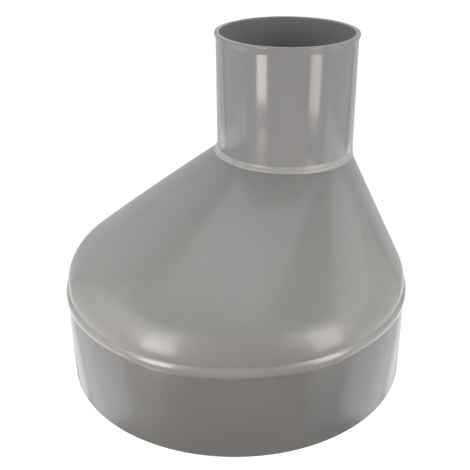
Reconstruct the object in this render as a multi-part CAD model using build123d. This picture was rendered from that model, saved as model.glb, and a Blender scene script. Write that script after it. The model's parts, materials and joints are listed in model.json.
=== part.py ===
from build123d import *
import os
from math import asin, atan2, cos, hypot, radians, tan

# Eccentric reducer in rigid PVC-U, fabricated from a length of large pipe, a thermoformed
# hood and a moulded small socket. Millimetres, +Z up. The origin is the centre of the large
# pipe's open end, and the small socket stands off-centre along +X, flush with the hood's side.

# Large pipe: the ring that plugs into a large socket.
large_diameter = 315.0
large_wall = 7.7
large_length = 80.0
pipe_edge_break = 1.0

# Half-lap joint between the ring and the hood's skirt.
lap_length = 8.3
lap_depth = 4.1
skirt_proud = 1.3
skirt_round = 0.9
skirt_crown = 5.0
cement_gap = 0.1

# Hood: a shell with a round shoulder below and a crowned slope above it.
hood_inset = 1.1
hood_wall = 6.0
hood_land = 1.7
shoulder_radius = 30.0
long_slope_angle = 21.37
long_side_crown = 12.0
broad_side_crown = 2.0

# Small socket: it takes the end of a 125 mm pipe as far as its stop.
socket_bore_diameter = 125.3
socket_wall = 3.4
socket_depth = 68.0
stop_step = 3.2
entry_chamfer = 0.8
flush_step = 0.5
joint_rise = 3.5
neck_length = 112.5

# Rim round the socket's mouth.
lip_proud = 1.05
lip_height = 3.6
lip_taper = 3.4
lip_round = 0.5

# Welds and cement runs.
socket_weld_leg = 3.6
socket_weld_throat = 2.2
inner_weld_leg = 3.0
inner_weld_throat = 1.6
cement_height = 2.5
cement_throat = 0.6
inner_cement_leg = 2.6
inner_cement_throat = 1.3

# Sizes that follow from those above.
large_radius = large_diameter / 2
ring_bore_radius = large_radius - large_wall
tongue_radius = large_radius - lap_depth
skirt_radius = large_radius + skirt_proud
skirt_top = large_length + lap_length
hood_radius = large_radius - hood_inset
cavity_radius = hood_radius - hood_wall
shoulder_height = skirt_top + hood_land
core_radius = hood_radius - shoulder_radius
socket_bore_radius = socket_bore_diameter / 2
neck_radius = socket_bore_radius + socket_wall
passage_radius = socket_bore_radius - stop_step
neck_offset = hood_radius - flush_step - neck_radius
long_slope = radians(long_slope_angle)
long_run = core_radius + neck_offset - neck_radius
slope_rise = long_run * tan(long_slope) + shoulder_radius / cos(long_slope)
slope_top = shoulder_height + slope_rise
joint_height = slope_top + joint_rise
mouth_height = joint_height + neck_length
lip_radius = neck_radius + lip_proud


def turned(outline, centre_x=0.0):
    """Solid turned about a vertical axis from a closed outline of (radius, height) lines."""
    section = make_face(Plane.XZ * outline)
    return Pos(centre_x, 0, 0) * revolve(section, Axis.Z)


def bead(radius, middle_height, leg, throat):
    """Outline of a weld run that stands on a wall at radius; a negative throat faces inwards."""
    foot = Line((radius, middle_height + leg), (radius, middle_height - leg))
    face = ThreePointArc(foot @ 1, (radius + throat, middle_height), foot @ 0)
    return foot + face


def large_ring():
    """Length of large pipe: open end down, with a thin tongue on top for the hood's skirt."""
    tongue_top = skirt_top - cement_gap
    outline = Polyline(
        (ring_bore_radius, 0),
        (large_radius - pipe_edge_break, 0),
        (large_radius, pipe_edge_break),
        (large_radius, large_length),
        (tongue_radius, large_length),
        (tongue_radius, tongue_top),
        (ring_bore_radius, tongue_top),
        close=True,
    )
    return turned(outline)


def core_reach(neck_reach):
    """How far the hood's core reaches at slope_top, on the side where the neck reaches neck_reach.

    The slope is the straight line from the neck's wall that touches the round shoulder, and the
    core runs parallel to it, one shoulder radius inside.
    """
    run = core_radius - neck_reach
    slope = atan2(slope_rise, run) - asin(shoulder_radius / hypot(slope_rise, run))
    return core_radius - slope_rise / tan(slope)


def core_section(long_reach, broad_reach, height):
    """Ellipse flush with the core on +X that reaches these distances towards -X and both Y sides.

    Its seam is turned to -X, away from the side where the neck's wall and the hood's lie close.
    """
    centre_x = (core_radius - long_reach) / 2
    half_length = (core_radius + long_reach) / 2
    return Pos(centre_x, 0, height) * Rot(0, 0, 180) * Ellipse(half_length, broad_reach)


def hood_core():
    """Crowned oblique cone, one shoulder radius inside the hood's outer surface."""
    long_reach = core_reach(neck_radius - neck_offset)
    broad_reach = core_reach(neck_radius)
    middle_long = (core_radius + long_reach) / 2 + long_side_crown
    middle_broad = (core_radius + broad_reach) / 2 + broad_side_crown
    foot = Pos(0, 0, shoulder_height) * Rot(0, 0, 180) * Circle(core_radius)
    middle = core_section(middle_long, middle_broad, shoulder_height + slope_rise / 2)
    top = core_section(long_reach, broad_reach, slope_top)
    return loft(Sketch() + [foot, middle, top])


def hood_form(depth, foot_height):
    """Solid bounded by the hood's surface, depth inside its outside, from foot_height upwards."""
    rounded = offset(hood_core(), amount=shoulder_radius - depth, kind=Kind.ARC)
    above_shoulder = split(rounded, bisect_by=Plane.XY.offset(shoulder_height), keep=Keep.TOP)
    drum = cylinder_between(hood_radius - depth, foot_height, shoulder_height)
    return drum + above_shoulder


def cylinder_between(radius, low, high, centre_x=0.0):
    """Upright cylinder between two heights, with its seam turned to -X as the core's is."""
    base = Align.CENTER, Align.CENTER, Align.MIN
    return Pos(centre_x, 0, low) * Rot(0, 0, 180) * Cylinder(radius, high - low, align=base)


def skirt():
    """Disc with the skirt's outside: a small round below and a crown that swells out from above."""
    crown_width = skirt_radius - hood_radius
    crown_foot = skirt_top - skirt_crown
    underside = Line((0, large_length), (skirt_radius - skirt_round, large_length))
    lower_round = RadiusArc(underside @ 1, (skirt_radius, large_length + skirt_round), -skirt_round)
    upright = Line(lower_round @ 1, (skirt_radius, crown_foot))
    crown = EllipticalCenterArc((hood_radius, crown_foot), crown_width, skirt_crown, arc_size=90)
    top = Line(crown @ 1, (0, skirt_top))
    axis_side = Line(top @ 1, underside @ 0)
    return turned(underside + lower_round + upright + crown + top + axis_side)


def eccentric_hood():
    """Thermoformed shell: skirt over the ring's tongue, round shoulder, slope and short collar."""
    outside = hood_form(0, skirt_top - skirt_crown)
    outside = split(outside, bisect_by=Plane.XY.offset(joint_height), keep=Keep.BOTTOM)
    collar = cylinder_between(neck_radius, shoulder_height, joint_height, neck_offset)
    cavity = hood_form(hood_wall, skirt_top)
    lap_recess = cylinder_between(tongue_radius + cement_gap, large_length, skirt_top)
    passage = cylinder_between(passage_radius, shoulder_height, joint_height, neck_offset)
    return outside + collar + skirt() - cavity - lap_recess - passage


def small_socket():
    """Moulded socket: open mouth up with a rim, and a stop that ends the pipe's travel."""
    stop_height = mouth_height - socket_depth
    lip_foot = mouth_height - lip_height
    taper_foot = lip_foot - lip_taper
    outline = Polyline(
        (passage_radius, joint_height),
        (neck_radius, joint_height),
        (neck_radius, taper_foot),
        (lip_radius, lip_foot),
        (lip_radius, mouth_height),
        (socket_bore_radius + entry_chamfer, mouth_height),
        (socket_bore_radius, mouth_height - entry_chamfer),
        (socket_bore_radius, stop_height),
        (passage_radius, stop_height),
        close=True,
    )
    body = turned(outline, neck_offset)
    rim = body.edges().filter_by(GeomType.CIRCLE).group_by(Axis.Z)[-1].sort_by(SortBy.RADIUS)[-1]
    return fillet(rim, lip_round)


def socket_weld():
    """Weld run outside the butt joint, cut off where the hood's slope meets the collar."""
    run = turned(bead(neck_radius, joint_height, socket_weld_leg, socket_weld_throat), neck_offset)
    slopes = split(hood_form(0, skirt_top), bisect_by=Plane.XY.offset(joint_height), keep=Keep.BOTTOM)
    return run - slopes


def inner_socket_weld():
    """Weld run inside the same joint."""
    return turned(bead(passage_radius, joint_height, inner_weld_leg, -inner_weld_throat), neck_offset)


def base_cement():
    """Cement squeezed out under the hood's skirt, on the ring's wall."""
    crest = large_radius + cement_throat
    outline = Polyline(
        (large_radius, large_length),
        (large_radius, large_length - cement_height),
        (crest, large_length - cement_height / 2),
        (crest, large_length),
        close=True,
    )
    return turned(outline)


def inner_base_cement():
    """Cement run inside the lap joint, from the ring's tongue over the step to the hood's wall."""
    crest = ring_bore_radius - inner_cement_throat
    outline = Polyline(
        (ring_bore_radius, skirt_top),
        (ring_bore_radius, skirt_top - inner_cement_leg),
        (crest, skirt_top - inner_cement_leg / 2),
        (crest, skirt_top),
        (cavity_radius, shoulder_height),
        (cavity_radius, skirt_top),
        close=True,
    )
    return turned(outline)


def write(part, name):
    """Write one node's STEP file."""
    export_step(part, os.path.join("parts", name + ".step"))


def main():
    os.makedirs("parts", exist_ok=True)
    write(large_ring(), "large_pipe_ring")
    write(eccentric_hood(), "eccentric_hood")
    write(small_socket(), "small_socket")
    write(socket_weld(), "socket_weld")
    write(inner_socket_weld(), "inner_socket_weld")
    write(base_cement(), "base_cement")
    write(inner_base_cement(), "inner_base_cement")


main()
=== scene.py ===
import json
from math import asin, atan2, cos, hypot, pi, radians, sin, tan

import bpy
from bpy.props import FloatProperty, FloatVectorProperty, PointerProperty
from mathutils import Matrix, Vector


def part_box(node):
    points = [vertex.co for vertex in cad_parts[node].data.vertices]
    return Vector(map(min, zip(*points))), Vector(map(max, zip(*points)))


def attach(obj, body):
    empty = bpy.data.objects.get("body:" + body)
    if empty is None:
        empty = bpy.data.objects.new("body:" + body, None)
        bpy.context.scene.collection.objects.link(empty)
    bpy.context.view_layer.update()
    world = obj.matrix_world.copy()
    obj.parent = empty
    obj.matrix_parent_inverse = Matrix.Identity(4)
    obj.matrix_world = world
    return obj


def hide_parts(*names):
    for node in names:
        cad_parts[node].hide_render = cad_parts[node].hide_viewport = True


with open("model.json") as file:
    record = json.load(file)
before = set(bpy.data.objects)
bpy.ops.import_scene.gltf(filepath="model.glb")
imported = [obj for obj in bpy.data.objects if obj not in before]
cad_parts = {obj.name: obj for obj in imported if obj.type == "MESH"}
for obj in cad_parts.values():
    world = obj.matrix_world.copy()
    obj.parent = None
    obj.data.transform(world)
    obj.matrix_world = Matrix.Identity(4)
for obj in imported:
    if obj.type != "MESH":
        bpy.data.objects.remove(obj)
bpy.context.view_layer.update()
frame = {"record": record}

bl_info = {
    "name": "Eccentric pipe reducer",
    "version": (1, 0, 0),
    "blender": (4, 5, 0),
    "location": "3D View > Sidebar > Reducer",
    "description": "Visual model of a flush-sided reducer in grey rigid plastic",
    "category": "Object",
}

# What the imported model says: the boxes of its nodes and the sizes of its mounts.
RING_LOW, RING_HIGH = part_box("large_pipe_ring")
HOOD_LOW, HOOD_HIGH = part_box("eccentric_hood")
SOCKET_LOW, SOCKET_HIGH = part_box("small_socket")
MOUNTS = {mount["name"]: mount for mount in frame["record"]["mounts"]}
BODY = "root"
MM = 0.001

# Round places that the pieces share, in metres.
RING_RADIUS = MOUNTS["large_end"]["dims"]["r_mm"] * MM
SKIRT_RADIUS = HOOD_HIGH.y
SKIRT_FOOT = HOOD_LOW.z
JOINT_HEIGHT = SOCKET_LOW.z
MOUTH_HEIGHT = SOCKET_HIGH.z
NECK_X = MOUNTS["small_socket"]["pos_m"][0]
BORE_RADIUS = MOUNTS["small_socket"]["dims"]["r_mm"] * MM

# Small fits, in metres.
LAP_GAP = 0.1 * MM  # from the tongue to the skirt's recess
COLLAR_INSET = 0.4 * MM  # from the socket's outer wall in to the hood's collar
CEMENT_SEAT = 0.2 * MM  # from the pipe's surface in to the back of the cement under the skirt
CEMENT_EDGE = 0.1 * MM  # thickness of that cement at its thin edges
CEMENT_TOP = 0.3 * MM  # from the skirt's foot down to where the cement's face starts to swell
SAG_ZONE = 0.9 * MM  # height of the part of it that sags, at its lower edge
MERGE_DISTANCE = 0.01 * MM  # points nearer than this become one

# Steps round each piece, finest where the surface is uneven, and steps up the hood's wall.
AROUND = 256
AROUND_WELD = 720
AROUND_INNER_WELD = 480
AROUND_CEMENT = 900
SKIRT_ROUND_STEPS = 5
CROWN_STEPS = 10
SHOULDER_STEPS = 14
SLOPE_STEPS = 24

CROWN_TURN = radians(62)  # part of an ellipse's quarter that the skirt's crown takes
EDGE_EVENING = 5  # neighbours on each side over which the slope's end is evened
HALVINGS = 40  # of the range in which the slope's end is looked for
FILLET_SKEW = 1.6  # puts the weld's fullest place two thirds of the way down
LUMP_SIZE = 2.2 * MM  # grain of the welds' unevenness
SAG_SIZE = 11.0 * MM  # and of the sagging cement's

# Surface of each plastic. The hood also has sanding marks, a coat that keeps a sheen on part of
# its surface, and factors by which its skirt is paler and smoother.
PLASTICS = {
    "extruded_pipe": {"mottle": 0.10, "wear": 0.10, "roughness": 0.19, "grain": 0.12},
    "formed_hood": {"mottle": 0.14, "wear": 0.10, "roughness": 0.38, "grain": 0.20,
                    "marks": 0.9, "coat": 0.45, "skirt_shade": 1.12, "skirt_roughness": 0.4},
    "moulded_socket": {"mottle": 0.08, "wear": 0.05, "roughness": 0.12, "grain": 0.06},
    "weld_run": {"mottle": 1.0, "wear": 0.15, "roughness": 0.17, "grain": 0.8},
    "dried_cement": {"mottle": 0.4, "wear": 0.3, "roughness": 0.3, "grain": 0.4},
}
PLASTIC_IOR = 1.54
COAT_ROUGHNESS = 0.14
BUMP_DISTANCE = 0.2 * MM
SKIRT_FADE = 0.4 * MM  # height over which the skirt's finish turns into the hood's

# Scale and detail of the noises in the plastics.
NOISES = {
    "clouds": (24.0, 4.0),
    "specks": (420.0, 3.0),
    "grain": (1100.0, 2.0),
    "sanding": (95.0, 3.0),
}
NOISE_ROUGHNESS = 0.6
SPECK_SHARE = 0.35  # strength of the specks beside the clouds
MARK_SHADE = 0.06  # how much the sanding marks change the shade
MARK_STRETCH = 0.25  # how fast the marks change along their run

# Stage. Azimuths are in degrees from the camera's own, and plus is to the camera's right.
CAMERA_AZIMUTH = -57.56
CAMERA_PLACE = (-0.5580, -0.3546, 0.4579)
CAMERA_AIM = (0.7614, 0.4676, -0.4491)
CAMERA_LENS = 61.02
CAMERA_SENSOR = 36
CAMERA_SHIFT = -0.0259
WHITE = 1.1  # strength at which the floor and the surroundings look white
TABLE_INSET = 2 * MM  # from the pipe's surface in to the edge of the dark disc under the part
TABLE_SHADE = 0.1
TABLE_ROUGHNESS = 0.8

# The strips close in front, in metres. Each has a bright part up to the foot of its head, a core
# of extra light in that part, a dim head above and a dim tail below.
STRIP_DISTANCE = 0.6
STRIP_WIDTH = 0.19
STRIP_COLOUR = (1.0, 0.93, 0.88)
TAIL_FOOT = -0.13
CORE_FOOT = 0.02
HEAD_FOOT = 0.20
HEAD_TOP = 0.46
# Side, azimuth and height of the bright part's foot.
STRIPS = (("left", -43, -0.05), ("right", 50, -0.06))

# Panels that stand on both sides: name, azimuth, distance, width, foot and top, in metres.
SIDE_PANELS = (
    ("front_low", 62, 1.3, 0.75, -1.2, 0.25),
    ("front_high", 55, 1.3, 1.0, 0.25, 1.7),
    ("wall", 100, 1.3, 1.15, -1.3, 1.7),
    ("wall_high", 100, 1.31, 1.15, 0.8, 1.7),
    ("glow", 112, 1.29, 2.0, -1.3, -0.45),
    ("rear", 155, 1.35, 1.3, -1.2, 1.6),
)

# Overhead panels: name and azimuth, then the distance, height and side of both.
TOP_PANELS = (("top_back", 180), ("top_front", 0))
TOP_DISTANCE = 0.6
TOP_HEIGHT = 1.6
TOP_SIDE = 1.2


def length(name, default, description):
    """A length property, in metres."""
    return FloatProperty(name=name, default=default, description=description,
                         unit="LENGTH", subtype="DISTANCE", precision=5)


def colour(name, default, description):
    """A linear colour property."""
    return FloatVectorProperty(name=name, default=default, description=description,
                               subtype="COLOR", size=3, min=0.0, max=1.0)


def power(name, default, description):
    """The power of a light, in watts."""
    return FloatProperty(name=name, default=default, description=description, min=0.0,
                         unit="POWER")


class RingSizes(bpy.types.PropertyGroup):
    """Sizes of the ring of large pipe"""
    wall: length("Wall", 7.7 * MM, "Wall of the large pipe")
    edge_break: length("Edge break", 0.6 * MM, "Rounding of the cut end's edges")
    lap: length("Lap", 4.1 * MM, "How far the tongue under the skirt is turned down")


class HoodSizes(bpy.types.PropertyGroup):
    """Sizes of the hood and its skirt"""
    wall: length("Wall", 6.0 * MM, "Wall of the hood")
    inset: length("Inset", 1.1 * MM, "How far the hood lies inside the large pipe's wall")
    skirt_height: length("Skirt height", 8.3 * MM, "Height of the skirt over the tongue")
    skirt_round: length("Skirt round", 0.9 * MM, "Rounding of the skirt's lower edge")
    skirt_crown: length("Skirt crown", 5.0 * MM, "Height over which the skirt swells out")
    land: length("Land", 1.7 * MM, "Upright stretch between skirt and shoulder")
    shoulder: length("Shoulder", 30.0 * MM, "Radius of the round shoulder")
    joint_rise: length("Joint rise", 3.5 * MM, "Collar between the slope's top and the socket")
    long_crown: length("Long side crown", 12.0 * MM, "Bulge of the long slope")
    broad_crown: length("Broad side crown", 2.0 * MM, "Bulge of the slopes at the two sides")


class SocketSizes(bpy.types.PropertyGroup):
    """Sizes of the small socket"""
    wall: length("Wall", 3.4 * MM, "Wall of the socket")
    stop: length("Stop", 3.2 * MM, "Step that ends the pipe's travel")
    depth: length("Depth", 68.0 * MM, "How far a pipe goes in")
    chamfer: length("Entry chamfer", 0.8 * MM, "Chamfer inside the mouth")
    lip_proud: length("Lip", 1.4 * MM, "How far the rim stands out")
    lip_height: length("Lip height", 1.0 * MM, "Height of the rim")
    lip_taper: length("Lip taper", 6.0 * MM, "Height of the taper under the rim")
    lip_round: length("Lip round", 1.0 * MM, "Rounding of the rim's outer edge")
    edge_width: length("Edge width", 0.25 * MM, "Rounding of the other edges")


class SeamSizes(bpy.types.PropertyGroup):
    """Sizes of the weld and cement runs"""
    weld_leg: length("Weld leg", 4.2 * MM, "Half height of the weld outside the socket joint")
    weld_throat: length("Weld throat", 1.5 * MM, "How far that weld stands out")
    weld_spread: length("Weld spread", 1.8 * MM, "How far it spreads on the long slope")
    weld_lumps: length("Weld lumps", 0.35 * MM, "Height of the weld's unevenness")
    weld_thinning: FloatProperty(name="Weld thinning", default=0.7, min=0.0, max=1.0,
                                 description="Share of its thickness cut away on the flush side")
    inner_leg: length("Inner weld leg", 3.0 * MM, "Half height of the weld inside the joint")
    inner_throat: length("Inner weld throat", 1.6 * MM, "How far the inner weld stands out")
    cement_height: length("Cement height", 2.5 * MM, "Height of the cement under the skirt")
    cement_throat: length("Cement throat", 0.7 * MM, "How far that cement stands out")
    cement_sag: length("Cement sag", 1.6 * MM, "How far its lower edge runs up and down")
    inner_cement_leg: length("Inner cement", 2.6 * MM, "Leg of the cement inside the lap")


class Finishes(bpy.types.PropertyGroup):
    """Colours of the plastics"""
    pipe: colour("Pipe", (0.222, 0.222, 0.220), "Extruded pipe")
    hood: colour("Hood", (0.290, 0.290, 0.283), "Thermoformed sheet")
    socket: colour("Socket", (0.296, 0.298, 0.301), "Moulded socket")
    weld: colour("Weld", (0.435, 0.438, 0.433), "Weld rod")
    cement: colour("Cement", (0.250, 0.248, 0.242), "Dried cement")


class StageSettings(bpy.types.PropertyGroup):
    """Powers of the lights and size of the floor"""
    strip_left: power("Left strip", 1.05, "Strip close in front on the left")
    strip_right: power("Right strip", 0.7, "Strip close in front on the right")
    tail: power("Tail", 0.05, "Dim lower end of either strip")
    core_left: power("Left core", 0.48, "Extra light in the middle of the left strip")
    core_right: power("Right core", 0.55, "Extra light in the middle of the right strip")
    head: power("Head", 0.6, "Dim upper end of either strip")
    front_low: power("Front low", 1.3, "Lower half of the panel in front on either side")
    front_high: power("Front high", 6.2, "Upper half of the panel in front on either side")
    wall: power("Wall", 6.2, "Broad wall on either side")
    wall_high: power("Wall top", 2.9, "Extra light at the top of either wall")
    glow: power("Glow", 3.2, "Light that the table throws up on either side")
    rear: power("Rear panels", 7.5, "Panel behind on either side")
    top_back: power("Top back", 5.8, "Overhead panel behind the part")
    top_front: power("Top front", 0.8, "Overhead panel in front of the part")
    ambient: FloatProperty(name="Ambient", default=0.03, min=0.0,
                           description="Strength of the white surroundings as light")
    floor_size: length("Floor", 3.0, "Side of the pale floor")


# Modelling helpers.

def start_clean():
    """Leaves edit mode and selects nothing."""
    if bpy.context.mode != "OBJECT":
        bpy.ops.object.mode_set(mode="OBJECT")
    bpy.ops.object.select_all(action="DESELECT")


def arc(centre, radius, start, end, steps):
    """Points on an arc of an outline, from one angle to another in degrees, both ends included."""
    angles = [radians(start + (end - start) * i / steps) for i in range(steps + 1)]
    return [(centre[0] + radius * cos(a), centre[1] + radius * sin(a)) for a in angles]


def bulge(low, high, throat, steps):
    """Points on the arc from one point of an outline to another that stands throat to its side."""
    a, b = Vector(low), Vector(high)
    chord = b - a
    side = Vector((chord.y, -chord.x)).normalized()
    points = []
    for i in range(steps + 1):
        share = i / steps
        lift = throat * (1.0 - (2.0 * share - 1.0) ** 2)
        points.append(tuple(a + chord * share + side * lift))
    return points


def fillet_outline(radius, low, high, throat, steps):
    """Points up the face of a weld run that is fullest low down and runs out thin at its top."""
    points = []
    for i in range(steps + 1):
        bulk = throat * sin(pi * (1.0 - i / steps) ** FILLET_SKEW)
        points.append((radius + bulk, low + (high - low) * i / steps))
    return points


def close_surface():
    """Merges the doubles of the mesh in edit mode, points its faces outwards and leaves it."""
    bpy.ops.mesh.select_all(action="SELECT")
    bpy.ops.mesh.remove_doubles(threshold=MERGE_DISTANCE)
    bpy.ops.mesh.normals_make_consistent(inside=False)
    bpy.ops.object.mode_set(mode="OBJECT")


def turned_piece(name, outline, around, centre_x=0.0):
    """Closed ring modelled by extruding a circle along a closed outline of (radius, height)."""
    start_clean()
    radius, height = outline[0]
    bpy.ops.mesh.primitive_circle_add(vertices=around, radius=radius,
                                      location=(centre_x, 0, height))
    piece = bpy.context.object
    piece.name = name
    bpy.ops.object.transform_apply(location=True, rotation=True, scale=True)
    bpy.ops.object.mode_set(mode="EDIT")
    bpy.ops.mesh.select_all(action="SELECT")
    for next_radius, next_height in outline[1:] + outline[:1]:
        growth = next_radius / radius
        bpy.ops.mesh.extrude_region_move(
            TRANSFORM_OT_translate={"value": (0, 0, next_height - height)})
        bpy.ops.transform.resize(value=(growth, growth, 1),
                                 center_override=(centre_x, 0, next_height))
        radius, height = next_radius, next_height
    close_surface()
    return piece


def apply_modifier(piece, kind, **settings):
    """Adds a modifier with these settings and applies it."""
    modifier = piece.modifiers.new(kind.title(), kind)
    for key, value in settings.items():
        setattr(modifier, key, value)
    bpy.context.view_layer.objects.active = piece
    bpy.ops.object.modifier_apply(modifier=modifier.name)


def soften_edges(piece, width, segments=3):
    """Rounds the piece's hard edges."""
    apply_modifier(piece, "BEVEL", width=width, segments=segments, limit_method="ANGLE",
                   angle_limit=radians(30))


def smooth(piece, angle=35):
    """Smooth shading with hard edges past the given angle."""
    start_clean()
    piece.select_set(True)
    bpy.context.view_layer.objects.active = piece
    bpy.ops.object.shade_smooth_by_angle(angle=radians(angle))


def cloud_texture(name, size, depth):
    """Cloudy unevenness of that grain, in metres, and depth of detail."""
    texture = bpy.data.textures.new(name, "CLOUDS")
    texture.noise_scale = size
    texture.noise_depth = depth
    return texture


def roughen(piece, name, height):
    """Moves the surface of a weld in and out by lumps of that height."""
    apply_modifier(piece, "DISPLACE", texture=cloud_texture(name, LUMP_SIZE, 2),
                   texture_coords="GLOBAL", strength=height, mid_level=0.5)


def let_sag(piece, name, below, height):
    """Lets the part of a piece below a height run up and down by that much."""
    group = piece.vertex_groups.new(name=name)
    group.add([v.index for v in piece.data.vertices if v.co.z < below], 1.0, "REPLACE")
    apply_modifier(piece, "DISPLACE", texture=cloud_texture(name, SAG_SIZE, 3),
                   texture_coords="GLOBAL", direction="Z", vertex_group=name, strength=height,
                   mid_level=0.35)


def spread_run(piece, neck, leg, amount):
    """Swells the lower part of the weld run on the long side, most where the slope is longest.

    The swelling starts at 0.6 of the leg above the joint and is full from 0.4 of it below.
    """
    group = piece.vertex_groups.new(name="long_side")
    start = JOINT_HEIGHT + 0.6 * leg
    for vertex in piece.data.vertices:
        toward = max(0.0, (NECK_X - vertex.co.x) / neck)
        low = min(1.0, max(0.0, (start - vertex.co.z) / leg))
        group.add([vertex.index], min(1.0, toward ** 0.5) * low, "REPLACE")
    apply_modifier(piece, "DISPLACE", vertex_group=group.name, strength=amount, mid_level=0.0)


def thin_run(piece, neck, share):
    """Takes that share off the weld run's thickness within 60 degrees of the flush side.

    From there to the two sides it takes off less and less, down to nothing.
    """
    for vertex in piece.data.vertices:
        away = Vector((vertex.co.x - NECK_X, vertex.co.y, 0))
        proud = away.length - neck
        if proud > 0:
            flush = max(0.0, away.x / away.length)
            vertex.co -= away.normalized() * proud * share * min(1.0, 2 * flush)
    piece.data.update()


def finish_piece(piece, material, slot, *nodes):
    """Gives the piece its material and its body, and hides the nodes it stands for."""
    piece.data.materials.append(material)
    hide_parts(*nodes)
    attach(piece, BODY)


# Materials.

def node(tree, kind, at, **values):
    """Adds a shader node; a value is set on the input or the property of that name."""
    made = tree.nodes.new(kind)
    made.location = at
    for key, value in values.items():
        if key in made.inputs:
            made.inputs[key].default_value = value
        else:
            setattr(made, key, value)
    return made


def feed(tree, made, *values):
    """Feeds a node's inputs in order with sockets, numbers or vectors, and returns its outputs."""
    for place, value in zip(made.inputs, values):
        if isinstance(value, bpy.types.NodeSocket):
            tree.links.new(value, place)
        else:
            place.default_value = value
    return made.outputs


def number_node(tree, operation, at, *values):
    """Socket with the result of a math node fed with these sockets and numbers."""
    made = node(tree, "ShaderNodeMath", at, operation=operation)
    return feed(tree, made, *values)["Value"]


def vector_node(tree, operation, at, *values):
    """Outputs of a vector math node fed with these sockets and vectors."""
    return feed(tree, node(tree, "ShaderNodeVectorMath", at, operation=operation), *values)


def empty_tree(owner):
    """Node tree of a material or a world, with nothing in it."""
    owner.use_nodes = True
    owner.node_tree.nodes.clear()
    return owner.node_tree


def new_group(name, inputs, outputs):
    """Shader group with a Vector input, float inputs with their defaults and float outputs."""
    group = bpy.data.node_groups.new(name, "ShaderNodeTree")
    group.interface.new_socket("Vector", in_out="INPUT", socket_type="NodeSocketVector")
    for key, value in inputs.items():
        made = group.interface.new_socket(key, in_out="INPUT", socket_type="NodeSocketFloat")
        made.default_value = value
    for key in outputs:
        group.interface.new_socket(key, in_out="OUTPUT", socket_type="NodeSocketFloat")
    return group


def centred_noise(tree, at, vector, name):
    """Noise about zero, from the vector socket given."""
    scale, detail = NOISES[name]
    noise = node(tree, "ShaderNodeTexNoise", at, Scale=scale, Detail=detail,
                 Roughness=NOISE_ROUGHNESS)
    tree.links.new(vector, noise.inputs["Vector"])
    return number_node(tree, "SUBTRACT", (at[0] + 180, at[1]), noise.outputs["Fac"], 0.5)


def surface_group():
    """Shader group for grey plastic: cloudy mottling, fine grain and a roughness that follows."""
    group = bpy.data.node_groups.get("grey_plastic_surface")
    if group:
        return group
    inputs = {"Mottle": 0.1, "Wear": 0.1, "Roughness": 0.3, "Grain": 0.1, "Marks": 0.0}
    group = new_group("grey_plastic_surface", inputs, ("Shade", "Roughness", "Height"))
    source = node(group, "NodeGroupInput", (-1200, 0)).outputs
    result = node(group, "NodeGroupOutput", (600, 0)).inputs
    place = source["Vector"]
    clouds = centred_noise(group, (-900, 300), place, "clouds")
    specks = centred_noise(group, (-900, 60), place, "specks")
    grain = centred_noise(group, (-900, -180), place, "grain")
    blend = number_node(group, "MULTIPLY_ADD", (-500, 240), specks, SPECK_SHARE, clouds)
    shade = number_node(group, "MULTIPLY_ADD", (-300, 300), blend, source["Mottle"], 1.0)
    marked = number_node(group, "MULTIPLY_ADD", (-100, 300), source["Marks"], MARK_SHADE, shade)
    rough = number_node(group, "MULTIPLY_ADD", (-300, 60), blend, source["Wear"],
                        source["Roughness"])
    height = number_node(group, "MULTIPLY_ADD", (-300, -180), grain, source["Grain"],
                         source["Marks"])
    for key, value in (("Shade", marked), ("Roughness", rough), ("Height", height)):
        group.links.new(value, result[key])
    return group


def sanding_group():
    """Shader group for fine sanding marks that run down from the neck's axis all round."""
    group = bpy.data.node_groups.get("sanding_marks")
    if group:
        return group
    group = new_group("sanding_marks", {"Depth": 0.2}, ("Marks",))
    source = node(group, "NodeGroupInput", (-1300, 0)).outputs
    result = node(group, "NodeGroupOutput", (500, 0)).inputs
    shift = vector_node(group, "SUBTRACT", (-1100, 0), source["Vector"], (NECK_X, 0.0, 0.0))
    flat = vector_node(group, "MULTIPLY", (-920, 0), shift["Vector"], (1.0, 1.0, 0.0))
    reach = vector_node(group, "LENGTH", (-740, -160), flat["Vector"])
    turn = vector_node(group, "NORMALIZE", (-740, 0), flat["Vector"])
    split = feed(group, node(group, "ShaderNodeSeparateXYZ", (-560, 0)), turn["Vector"])
    run = number_node(group, "MULTIPLY", (-560, -160), reach["Value"], MARK_STRETCH)
    place = feed(group, node(group, "ShaderNodeCombineXYZ", (-380, 0)), split["X"], split["Y"], run)
    marks = centred_noise(group, (-200, 0), place["Vector"], "sanding")
    depth = number_node(group, "MULTIPLY", (200, 0), marks, source["Depth"])
    group.links.new(depth, result["Marks"])
    return group


def skirt_change(tree, at, height, below):
    """Socket with the number below under the top of the skirt, and 1 above it."""
    top = SKIRT_FOOT + bpy.context.scene.reducer_hood.skirt_height
    change = node(tree, "ShaderNodeMapRange", at)
    tree.links.new(height, change.inputs["Value"])
    for key, value in (("From Min", top - SKIRT_FADE), ("From Max", top),
                       ("To Min", below), ("To Max", 1.0)):
        change.inputs[key].default_value = value
    return change.outputs["Result"]


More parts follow.
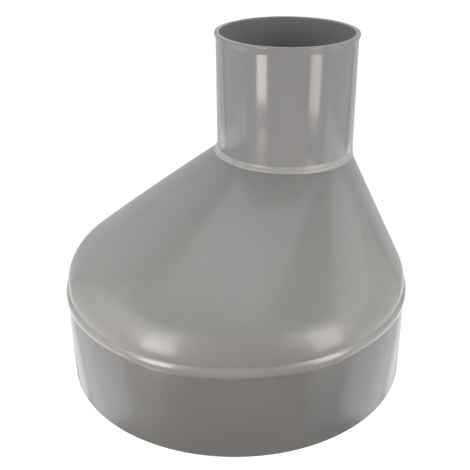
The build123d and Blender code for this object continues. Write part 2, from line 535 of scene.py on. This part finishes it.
def plastic(name, base):
    """Grey plastic of a colour, built on the shared groups with its row of PLASTICS."""
    values = PLASTICS[name]
    material = bpy.data.materials.new(name)
    tree = empty_tree(material)
    link = tree.links.new
    place = node(tree, "ShaderNodeTexCoord", (-1000, 0)).outputs["Object"]
    surface = node(tree, "ShaderNodeGroup", (-500, 0), node_tree=surface_group(),
                   Mottle=values["mottle"], Wear=values["wear"], Roughness=values["roughness"],
                   Grain=values["grain"])
    link(place, surface.inputs["Vector"])
    shade, roughness = surface.outputs["Shade"], surface.outputs["Roughness"]
    if "marks" in values:
        sanding = node(tree, "ShaderNodeGroup", (-760, -200), node_tree=sanding_group(),
                       Depth=values["marks"])
        link(place, sanding.inputs["Vector"])
        link(sanding.outputs["Marks"], surface.inputs["Marks"])
    if "skirt_shade" in values:
        split = feed(tree, node(tree, "ShaderNodeSeparateXYZ", (-760, 200)), place)
        paler = skirt_change(tree, (-500, 240), split["Z"], values["skirt_shade"])
        smoother = skirt_change(tree, (-500, 480), split["Z"], values["skirt_roughness"])
        shade = number_node(tree, "MULTIPLY", (-380, 240), paler, shade)
        roughness = number_node(tree, "MULTIPLY", (-380, 480), smoother, roughness)
    tint = node(tree, "ShaderNodeVectorMath", (-240, 120), operation="SCALE")
    tint.inputs[0].default_value = base
    link(shade, tint.inputs["Scale"])
    bump = node(tree, "ShaderNodeBump", (-240, -220), Strength=1.0, Distance=BUMP_DISTANCE)
    link(surface.outputs["Height"], bump.inputs["Height"])
    shader = node(tree, "ShaderNodeBsdfPrincipled", (0, 0), IOR=PLASTIC_IOR)
    shader.inputs["Coat Weight"].default_value = values.get("coat", 0.0)
    shader.inputs["Coat Roughness"].default_value = COAT_ROUGHNESS
    link(tint.outputs["Vector"], shader.inputs["Base Color"])
    link(roughness, shader.inputs["Roughness"])
    link(bump.outputs["Normal"], shader.inputs["Normal"])
    out = node(tree, "ShaderNodeOutputMaterial", (300, 0))
    link(shader.outputs["BSDF"], out.inputs["Surface"])
    return material


# The hood's form.

class HoodForm:
    """Surface points of the hood: a core of crowned oblique ellipses, offset outwards.

    The core runs one shoulder radius inside the outer surface, so its offset gives the round
    shoulder and the slope in one go, and a smaller offset gives the inner surface.
    """

    def __init__(self, sizes):
        self.rho = sizes.shoulder
        self.radius = RING_RADIUS - sizes.inset
        self.core = self.radius - sizes.shoulder
        self.foot = SKIRT_FOOT + sizes.skirt_height + sizes.land
        self.rise = JOINT_HEIGHT - sizes.joint_rise - self.foot
        self.neck = BORE_RADIUS + bpy.context.scene.reducer_socket.wall
        long_top = self.reach(self.neck - NECK_X)
        broad_top = self.reach(self.neck)
        self.long = (self.core, (self.core + long_top) / 2 + sizes.long_crown, long_top)
        self.broad = (self.core, (self.core + broad_top) / 2 + sizes.broad_crown, broad_top)

    def reach(self, neck_reach):
        """How far the core reaches at the slope's top on the side where the neck reaches so far."""
        run = self.core - neck_reach
        slope = atan2(self.rise, run) - asin(self.rho / hypot(self.rise, run))
        return self.core - self.rise / tan(slope)

    def blend(self, three, t):
        """Value and slope at height share t of the parabola through values at 0, 1/2 and 1."""
        a, b, c = three
        value = a * (1 - t) * (1 - 2 * t) + b * 4 * t * (1 - t) + c * t * (2 * t - 1)
        slope = a * (4 * t - 3) + b * (4 - 8 * t) + c * (4 * t - 1)
        return value, slope / self.rise

    def core_point(self, turn, t):
        """Point and outward normal of the core at an angle round it and a share of its height."""
        long, long_slope = self.blend(self.long, t)
        broad, broad_slope = self.blend(self.broad, t)
        half, half_slope = (self.core + long) / 2, long_slope / 2
        centre, centre_slope = (self.core - long) / 2, -long_slope / 2
        c, s = cos(turn), sin(turn)
        point = Vector((centre + half * c, broad * s, self.foot + self.rise * t))
        along = Vector((-half * s, broad * c, 0))
        up = Vector((centre_slope + half_slope * c, broad_slope * s, 1))
        return point, along.cross(up).normalized()

    def shoulder(self, turn, share, depth):
        """Point on the round shoulder, depth inside the outer surface."""
        point, normal = self.core_point(turn, 0)
        climb = asin(normal.z) * share
        outward = Vector((cos(turn) * cos(climb), sin(turn) * cos(climb), sin(climb)))
        return point + outward * (self.rho - depth)

    def slope(self, turn, t, depth):
        """Point on the slope, depth inside the outer surface."""
        point, normal = self.core_point(turn, t)
        return point + normal * (self.rho - depth)

    def slope_end(self, turn, depth, radius):
        """Share of the core's height where the slope comes that near to the neck's axis."""
        def inside(t):
            point = self.slope(turn, t, depth)
            return hypot(point.x - NECK_X, point.y) < radius

        low, high = 0.0, 1.0
        if not inside(high):
            return high
        for _ in range(HALVINGS):
            middle = (low + high) / 2
            low, high = (low, middle) if inside(middle) else (middle, high)
        return high


def evened(values, reach):
    """Each value of a closed run as the mean of its neighbours within that reach."""
    count = len(values)
    return [sum(values[(i + k) % count] for k in range(-reach, reach + 1)) / (2 * reach + 1)
            for i in range(count)]


def crown_steps(height, steps):
    """Shares of the width and drops from the top along the outer part of an elliptic arc."""
    width, rise = 1 - cos(CROWN_TURN), sin(CROWN_TURN)
    turns = [CROWN_TURN * i / steps for i in range(steps + 1)]
    return [((cos(a) - cos(CROWN_TURN)) / width, height * (1 - sin(a) / rise)) for a in turns]


def hood_rings(form, sizes, turns):
    """Closed loop of rings round the hood's wall, from the lap recess out, up and back inside."""
    def circle(radius, height):
        return [Vector((radius * cos(a), radius * sin(a), height)) for a in turns]

    def shoulder_ring(i, depth):
        return [form.shoulder(a, i / SHOULDER_STEPS, depth) for a in turns]

    def slope_ring(i, depth, ends):
        return [form.slope(a, end * i / SLOPE_STEPS, depth) for a, end in zip(turns, ends)]

    def slope_ends(depth, radius):
        return evened([form.slope_end(a, depth, radius) for a in turns], EDGE_EVENING)

    recess = RING_RADIUS - bpy.context.scene.reducer_ring.lap + LAP_GAP
    collar = form.neck - COLLAR_INSET
    passage = BORE_RADIUS - bpy.context.scene.reducer_socket.stop
    skirt_top = SKIRT_FOOT + sizes.skirt_height
    edge = sizes.skirt_round
    swell = SKIRT_RADIUS - form.radius
    outer_ends, inner_ends = slope_ends(0, collar), slope_ends(sizes.wall, passage)
    rings = [circle(recess, skirt_top), circle(recess, SKIRT_FOOT)]
    rings += [circle(r, z) for r, z in arc((SKIRT_RADIUS - edge, SKIRT_FOOT + edge), edge, -90, 0,
                                           SKIRT_ROUND_STEPS)]
    rings += [circle(form.radius + swell * across, skirt_top - drop)
              for across, drop in crown_steps(sizes.skirt_crown, CROWN_STEPS)]
    rings += [shoulder_ring(i, 0) for i in range(SHOULDER_STEPS + 1)]
    rings += [slope_ring(i, 0, outer_ends) for i in range(1, SLOPE_STEPS + 1)]
    for radius in (collar, passage):
        around_neck = [atan2(point.y, point.x - NECK_X) for point in rings[-1]]
        rings.append([Vector((NECK_X + radius * cos(a), radius * sin(a), JOINT_HEIGHT))
                      for a in around_neck])
    rings += [slope_ring(i, sizes.wall, inner_ends) for i in range(SLOPE_STEPS, 0, -1)]
    rings += [shoulder_ring(i, sizes.wall) for i in range(SHOULDER_STEPS, -1, -1)]
    rings.append(circle(form.radius - sizes.wall, skirt_top))
    return rings


def ring_mesh(name, rings):
    """Closed tube of faces through rings of points, modelled on a primitive torus's grid."""
    start_clean()
    around, count = len(rings[0]), len(rings)
    bpy.ops.mesh.primitive_torus_add(major_segments=around, minor_segments=count,
                                     major_radius=1.0, minor_radius=0.5)
    piece = bpy.context.object
    piece.name = name
    points = [rings[j][i] for i in range(around) for j in range(count)]
    piece.data.vertices.foreach_set("co", [c for p in points for c in p])
    piece.data.update()
    bpy.ops.object.mode_set(mode="EDIT")
    close_surface()
    return piece


# Stage.

def split_by_ray(tree, unseen, seen, output):
    """Shows one shader to the camera and another to everything else."""
    path = node(tree, "ShaderNodeLightPath", (-400, 200)).outputs["Is Camera Ray"]
    mix = node(tree, "ShaderNodeMixShader", (-100, 0))
    mixed = feed(tree, mix, path, unseen.outputs[0], seen.outputs[0])
    tree.links.new(mixed[0], node(tree, output, (150, 0)).inputs["Surface"])


def build_floor(settings):
    """Pale floor seen by the camera alone, and a dark disc under the part that it can't see."""
    start_clean()
    bpy.ops.mesh.primitive_plane_add(size=settings.floor_size)
    floor = bpy.context.object
    floor.name = "pale_floor"
    material = bpy.data.materials.new("pale_floor")
    tree = empty_tree(material)
    clear = node(tree, "ShaderNodeBsdfTransparent", (-400, 0))
    glow = node(tree, "ShaderNodeEmission", (-400, -200), Strength=WHITE)
    split_by_ray(tree, clear, glow, "ShaderNodeOutputMaterial")
    floor.data.materials.append(material)
    start_clean()
    bpy.ops.mesh.primitive_circle_add(vertices=96, radius=RING_RADIUS - TABLE_INSET,
                                      fill_type="NGON")
    table = bpy.context.object
    table.name = "table_top"
    table.visible_camera = False
    matte = bpy.data.materials.new("table_top")
    matte.use_nodes = True
    shader = matte.node_tree.nodes["Principled BSDF"]
    shader.inputs["Base Color"].default_value = (TABLE_SHADE, TABLE_SHADE, TABLE_SHADE, 1)
    shader.inputs["Roughness"].default_value = TABLE_ROUGHNESS
    table.data.materials.append(matte)


def build_world(scene, settings):
    """White surroundings, softer as light than they look."""
    scene.world = bpy.data.worlds.new("white_room")
    tree = empty_tree(scene.world)
    soft = node(tree, "ShaderNodeBackground", (-400, 0), Strength=settings.ambient)
    seen = node(tree, "ShaderNodeBackground", (-400, -200), Strength=WHITE)
    for shade in (soft, seen):
        shade.inputs["Color"].default_value = (1.0, 1.0, 1.0, 1.0)
    split_by_ray(tree, soft, seen, "ShaderNodeOutputWorld")


def around_part(azimuth, distance, height):
    """Place at an azimuth, a distance from the part's axis and a height."""
    turn = radians(CAMERA_AZIMUTH + azimuth)
    return Vector((sin(turn) * distance, -cos(turn) * distance, height))


def area_light(name, shape, place, watts):
    """Area light at a place, facing down."""
    start_clean()
    bpy.ops.object.light_add(type="AREA", location=place)
    light = bpy.context.object
    light.name = name
    light.data.shape = shape
    light.data.energy = watts
    return light


def panel_light(name, azimuth, distance, width, low, high, watts):
    """Upright rectangular light between two heights, facing the part's axis."""
    place = around_part(azimuth, distance, (low + high) / 2)
    light = area_light(name, "RECTANGLE", place, watts)
    light.data.size = width
    light.data.size_y = high - low
    look = Vector((-place.x, -place.y, 0))
    light.rotation_euler = look.to_track_quat("-Z", "Y").to_euler()
    return light


def build_lights(settings):
    """Two strips close in front, panels at the sides and behind, and two overhead."""
    for side, azimuth, foot in STRIPS:
        parts = (("strip", foot, HEAD_FOOT, getattr(settings, "strip_" + side)),
                 ("core", CORE_FOOT, HEAD_FOOT, getattr(settings, "core_" + side)),
                 ("head", HEAD_FOOT, HEAD_TOP, settings.head),
                 ("tail", TAIL_FOOT, foot, settings.tail))
        for part, low, high, watts in parts:
            light = panel_light(f"{part}_{side}", azimuth, STRIP_DISTANCE, STRIP_WIDTH, low, high,
                                watts)
            light.data.color = STRIP_COLOUR
    for hand, side in ((-1, "left"), (1, "right")):
        for name, azimuth, *place_and_size in SIDE_PANELS:
            panel_light(f"{name}_{side}", hand * azimuth, *place_and_size, getattr(settings, name))
    for name, azimuth in TOP_PANELS:
        light = area_light(name, "SQUARE", around_part(azimuth, TOP_DISTANCE, TOP_HEIGHT),
                           getattr(settings, name))
        light.data.size = TOP_SIDE


def build_camera(scene):
    """Camera in front of the long slope, looking down on the part."""
    start_clean()
    turn = Vector(CAMERA_AIM).to_track_quat("-Z", "Y").to_euler()
    bpy.ops.object.camera_add(location=CAMERA_PLACE, rotation=turn)
    camera = bpy.context.object
    camera.name = "camera"
    camera.data.sensor_width = CAMERA_SENSOR
    camera.data.lens = CAMERA_LENS
    camera.data.shift_x = CAMERA_SHIFT
    scene.camera = camera


# Operators: one for each piece or group of like pieces, and one for the stage.

class REDUCER_OT_pipe_ring(bpy.types.Operator):
    """Length of large pipe with its open end down"""
    bl_idname = "reducer.pipe_ring"
    bl_label = "Pipe ring"

    def execute(self, context):
        sizes = context.scene.reducer_ring
        bore = RING_RADIUS - sizes.wall
        tongue = RING_RADIUS - sizes.lap
        outline = [(bore, RING_LOW.z), (RING_RADIUS, RING_LOW.z), (RING_RADIUS, SKIRT_FOOT),
                   (tongue, SKIRT_FOOT), (tongue, RING_HIGH.z), (bore, RING_HIGH.z)]
        piece = turned_piece("pipe_ring", outline, AROUND)
        soften_edges(piece, sizes.edge_break)
        smooth(piece)
        finish_piece(piece, plastic("extruded_pipe", context.scene.reducer_finishes.pipe),
                     "pipe", "large_pipe_ring")
        return {"FINISHED"}


class REDUCER_OT_hood(bpy.types.Operator):
    """Thermoformed hood with its skirt, round shoulder and slope"""
    bl_idname = "reducer.hood"
    bl_label = "Hood"

    def execute(self, context):
        sizes = context.scene.reducer_hood
        turns = [2 * pi * i / AROUND for i in range(AROUND)]
        piece = ring_mesh("hood_shell", hood_rings(HoodForm(sizes), sizes, turns))
        smooth(piece)
        finish_piece(piece, plastic("formed_hood", context.scene.reducer_finishes.hood),
                     "hood", "eccentric_hood")
        return {"FINISHED"}


class REDUCER_OT_socket(bpy.types.Operator):
    """Moulded small socket with its rim and inner stop"""
    bl_idname = "reducer.socket"
    bl_label = "Socket"

    def execute(self, context):
        sizes = context.scene.reducer_socket
        neck = BORE_RADIUS + sizes.wall
        lip = neck + sizes.lip_proud
        passage = BORE_RADIUS - sizes.stop
        lip_foot = MOUTH_HEIGHT - sizes.lip_height
        taper_foot = lip_foot - sizes.lip_taper
        stop_height = MOUTH_HEIGHT - sizes.depth
        chamfer_foot = MOUTH_HEIGHT - sizes.chamfer
        step = 2 * sizes.edge_width
        flare = sizes.lip_proud * step / sizes.lip_taper
        outline = [(passage, JOINT_HEIGHT), (neck, JOINT_HEIGHT), (neck, taper_foot - step),
                   (neck, taper_foot), (neck + flare, taper_foot + step),
                   (lip - flare, lip_foot - step), (lip, lip_foot)]
        outline += arc((lip - sizes.lip_round, MOUTH_HEIGHT - sizes.lip_round),
                       sizes.lip_round, 0, 90, steps=4)
        outline += arc((BORE_RADIUS + sizes.chamfer, chamfer_foot), sizes.chamfer, 90, 180,
                       steps=4)
        outline += [(BORE_RADIUS, chamfer_foot - step), (BORE_RADIUS, stop_height),
                    (passage, stop_height)]
        piece = turned_piece("socket_body", outline, AROUND, NECK_X)
        soften_edges(piece, sizes.edge_width, segments=2)
        smooth(piece)
        finish_piece(piece, plastic("moulded_socket", context.scene.reducer_finishes.socket),
                     "socket", "small_socket")
        return {"FINISHED"}


class REDUCER_OT_welds(bpy.types.Operator):
    """Weld runs outside and inside the socket's joint"""
    bl_idname = "reducer.welds"
    bl_label = "Welds"

    def execute(self, context):
        sizes = context.scene.reducer_seams
        neck = BORE_RADIUS + context.scene.reducer_socket.wall
        passage = BORE_RADIUS - context.scene.reducer_socket.stop
        finish = plastic("weld_run", context.scene.reducer_finishes.weld)
        outline = fillet_outline(neck, JOINT_HEIGHT - sizes.weld_leg,
                                 JOINT_HEIGHT + sizes.weld_leg, sizes.weld_throat, steps=16)
        outer = turned_piece("socket_weld_run", outline, AROUND_WELD, NECK_X)
        spread_run(outer, neck, sizes.weld_leg, sizes.weld_spread)
        roughen(outer, "weld_lumps", sizes.weld_lumps)
        thin_run(outer, neck, sizes.weld_thinning)
        smooth(outer, angle=80)
        finish_piece(outer, finish, "weld", "socket_weld")
        outline = bulge((passage, JOINT_HEIGHT + sizes.inner_leg),
                        (passage, JOINT_HEIGHT - sizes.inner_leg), sizes.inner_throat, steps=8)
        inner = turned_piece("inner_weld_run", outline, AROUND_INNER_WELD, NECK_X)
        roughen(inner, "inner_weld_lumps", sizes.weld_lumps)
        smooth(inner, angle=80)
        finish_piece(inner, finish, "weld", "inner_socket_weld")
        return {"FINISHED"}


class REDUCER_OT_cement(bpy.types.Operator):
    """Cement runs outside and inside the lap joint"""
    bl_idname = "reducer.cement"
    bl_label = "Cement"

    def execute(self, context):
        sizes = context.scene.reducer_seams
        hood = context.scene.reducer_hood
        finish = plastic("dried_cement", context.scene.reducer_finishes.cement)
        low = SKIRT_FOOT - sizes.cement_height
        back = RING_RADIUS - CEMENT_SEAT
        face = RING_RADIUS + CEMENT_EDGE
        outline = [(back, SKIRT_FOOT), (back, low), (RING_RADIUS, low)]
        outline += bulge((face, low), (face, SKIRT_FOOT - CEMENT_TOP),
                         sizes.cement_throat - CEMENT_EDGE, steps=6)[1:]
        outline += [(face, SKIRT_FOOT)]
        outer = turned_piece("cement_run", outline, AROUND_CEMENT)
        let_sag(outer, "cement_sag", low + SAG_ZONE, sizes.cement_sag)
        smooth(outer, angle=60)
        finish_piece(outer, finish, "cement", "base_cement")
        bore = RING_RADIUS - context.scene.reducer_ring.wall
        step = SKIRT_FOOT + hood.skirt_height
        cavity = RING_RADIUS - hood.inset - hood.wall
        leg = sizes.inner_cement_leg
        outline = [(bore, step), (bore, step - leg), (bore - leg / 2, step - leg / 2),
                   (bore - leg / 2, step), (cavity, step + hood.land), (cavity, step)]
        inner = turned_piece("inner_cement_run", outline, AROUND)
        smooth(inner, angle=60)
        finish_piece(inner, finish, "cement", "inner_base_cement")
        return {"FINISHED"}


class REDUCER_OT_stage(bpy.types.Operator):
    """Pale floor, soft studio lights and the camera"""
    bl_idname = "reducer.stage"
    bl_label = "Stage"

    def execute(self, context):
        settings = context.scene.reducer_stage
        build_floor(settings)
        build_world(context.scene, settings)
        build_lights(settings)
        build_camera(context.scene)
        context.scene.view_settings.view_transform = "Standard"
        return {"FINISHED"}


class REDUCER_PT_panel(bpy.types.Panel):
    """Buttons for the reducer's pieces"""
    bl_label = "Eccentric reducer"
    bl_idname = "REDUCER_PT_panel"
    bl_space_type = "VIEW_3D"
    bl_region_type = "UI"
    bl_category = "Reducer"

    def draw(self, context):
        for operator in OPERATORS:
            self.layout.operator(operator.bl_idname)


GROUPS = {
    "reducer_ring": RingSizes,
    "reducer_hood": HoodSizes,
    "reducer_socket": SocketSizes,
    "reducer_seams": SeamSizes,
    "reducer_finishes": Finishes,
    "reducer_stage": StageSettings,
}
OPERATORS = (REDUCER_OT_pipe_ring, REDUCER_OT_hood, REDUCER_OT_socket, REDUCER_OT_welds,
             REDUCER_OT_cement, REDUCER_OT_stage)


def register():
    """Registers the classes and puts their settings on the scene."""
    for group in GROUPS.values():
        bpy.utils.register_class(group)
    for name, group in GROUPS.items():
        setattr(bpy.types.Scene, name, PointerProperty(type=group))
    for operator in OPERATORS:
        bpy.utils.register_class(operator)
    bpy.utils.register_class(REDUCER_PT_panel)


def unregister():
    """Takes off what register put on, in reverse."""
    bpy.utils.unregister_class(REDUCER_PT_panel)
    for operator in reversed(OPERATORS):
        bpy.utils.unregister_class(operator)
    for name in GROUPS:
        delattr(bpy.types.Scene, name)
    for group in reversed(list(GROUPS.values())):
        bpy.utils.unregister_class(group)


def main():
    """Registers the classes, and builds the pieces and the stage."""
    register()
    bpy.ops.reducer.pipe_ring()
    bpy.ops.reducer.hood()
    bpy.ops.reducer.socket()
    bpy.ops.reducer.welds()
    bpy.ops.reducer.cement()
    bpy.ops.reducer.stage()


if __name__ == "__main__":
    main()
